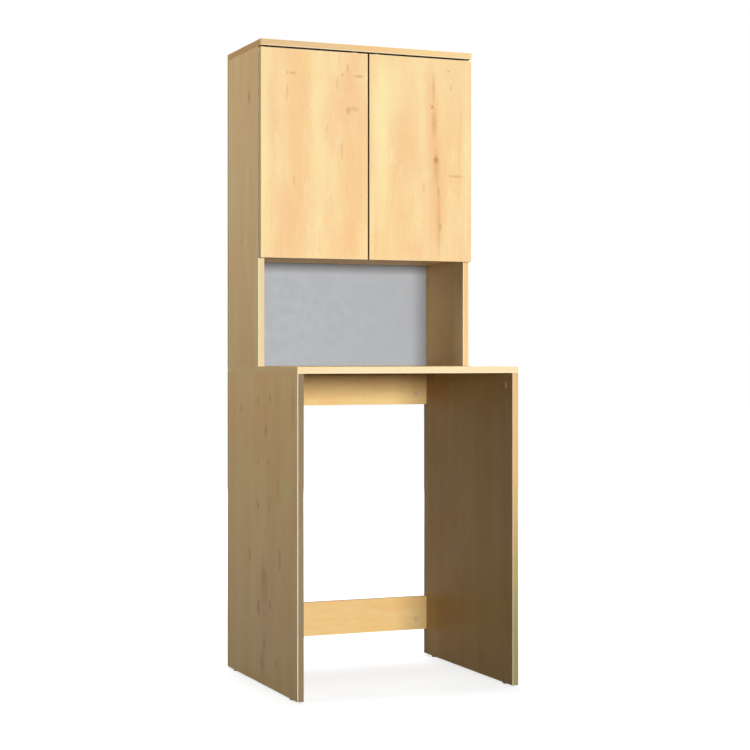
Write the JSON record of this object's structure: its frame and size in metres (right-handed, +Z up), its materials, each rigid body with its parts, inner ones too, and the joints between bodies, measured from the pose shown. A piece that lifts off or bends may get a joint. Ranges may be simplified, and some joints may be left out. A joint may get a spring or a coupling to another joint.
{
  "type": "tall laundry cabinet",
  "caption": "Tall over-appliance laundry cabinet: open floor bay under a deep worktop, open niche, and a shallower wall cupboard with hinged push-open doors.",
  "frame": {"origin": "on the floor, at the centre of the footprint", "axes": "+Z up, +X to the right seen from the front, +Y towards the wall behind, so the front faces -Y"},
  "size_m": [0.65, 0.6, 1.8],
  "materials": {
    "oak_board": "melamine faced particle board, light golden oak grain, satin",
    "oak_edge": "thin edge band in the boards' oak, satin",
    "grey_hardboard": "thin hardboard, plain pale grey lacquer",
    "dowel_beech": "fluteless beech, raw",
    "hinge_steel": "nickel plated pressed steel",
    "screw_steel": "bright zinc plated steel",
    "lock_zinc": "raw die cast zinc",
    "spring_steel": "oiled spring wire",
    "latch_plastic": "light grey moulded plastic, fine texture",
    "cap_plastic": "oak coloured moulded plastic, satin",
    "glide_plastic": "black moulded plastic",
    "bumper_rubber": "translucent soft pad"
  },
  "bodies": {
    "carcass": {"left_lower_side": "oak_board", "right_lower_side": "oak_board", "left_upper_side": "oak_board", "right_upper_side": "oak_board", "worktop": "oak_board", "top_panel": "oak_board", "cupboard_base": "oak_board", "rear_rail_top": "oak_board", "rear_rail_low": "oak_board", "shelf": "oak_board", "lower_side_edge_bands": "oak_edge", "upper_side_edge_bands": "oak_edge", "worktop_edge_bands": "oak_edge", "top_panel_edge_bands": "oak_edge", "cupboard_base_edge_band": "oak_edge", "shelf_edge_band": "oak_edge", "back_panel": "grey_hardboard", "dowels": "dowel_beech", "hinge_arms": "hinge_steel", "hinge_plates": "hinge_steel", "wall_brackets": "hinge_steel", "cam_bolts": "screw_steel", "long_screws": "screw_steel", "hinge_arm_pins": "screw_steel", "hinge_arm_screws": "screw_steel", "hinge_plate_screws": "screw_steel", "latch_screws": "screw_steel", "wall_bracket_screws": "screw_steel", "shelf_pins": "screw_steel", "cam_locks": "lock_zinc", "left_latch_spring": "spring_steel", "right_latch_spring": "spring_steel", "latch_bodies": "latch_plastic", "cam_covers": "cap_plastic", "floor_glides": "glide_plastic"},
    "left_linkage": {"left_hinge_links": "hinge_steel"},
    "left_leaf": {"left_door": "oak_board", "left_door_edge_bands": "oak_edge", "left_door_bumper": "bumper_rubber", "left_hinge_cups": "hinge_steel", "left_hinge_cup_pins": "screw_steel", "left_hinge_cup_screws": "screw_steel", "left_latch_striker": "hinge_steel", "left_latch_striker_screw": "screw_steel"},
    "left_push_rod": {"left_latch_plunger": "latch_plastic"},
    "right_linkage": {"right_hinge_links": "hinge_steel"},
    "right_leaf": {"right_door": "oak_board", "right_door_edge_bands": "oak_edge", "right_door_bumper": "bumper_rubber", "right_hinge_cups": "hinge_steel", "right_hinge_cup_pins": "screw_steel", "right_hinge_cup_screws": "screw_steel", "right_latch_striker": "hinge_steel", "right_latch_striker_screw": "screw_steel"},
    "right_push_rod": {"right_latch_plunger": "latch_plastic"}
  },
  "joints": [
    {"name": "left_link_turn", "type": "hinge", "parent": "carcass", "child": "left_linkage", "pos_m": [-0.287, 0.0245, 1.4835], "axis": [0, 0, -1], "range_deg": [-30, 0]},
    {"name": "left_door_swing", "type": "hinge", "parent": "left_linkage", "child": "left_leaf", "pos_m": [-0.313, 0.013, 1.4835], "axis": [0, 0, -1], "range_deg": [0, 130]},
    {"name": "left_plunger_slide", "type": "slide", "parent": "carcass", "child": "left_push_rod", "axis": [0, -1, 0], "range_m": [0, 0.012]},
    {"name": "right_link_turn", "type": "hinge", "parent": "carcass", "child": "right_linkage", "pos_m": [0.287, 0.0245, 1.4835], "axis": [0, 0, 1], "range_deg": [-30, 0]},
    {"name": "right_door_swing", "type": "hinge", "parent": "right_linkage", "child": "right_leaf", "pos_m": [0.313, 0.013, 1.4835], "axis": [0, 0, 1], "range_deg": [0, 130]},
    {"name": "right_plunger_slide", "type": "slide", "parent": "carcass", "child": "right_push_rod", "axis": [0, -1, 0], "range_m": [0, 0.012]}
  ],
  "couplings": [
    {"joint": "left_link_turn", "follows": "left_door_swing", "ratio": -0.23077},
    {"joint": "left_plunger_slide", "follows": "left_door_swing", "m_per_rad": 0.0052888},
    {"joint": "right_link_turn", "follows": "right_door_swing", "ratio": -0.23077},
    {"joint": "right_plunger_slide", "follows": "right_door_swing", "m_per_rad": 0.0052888}
  ]
}
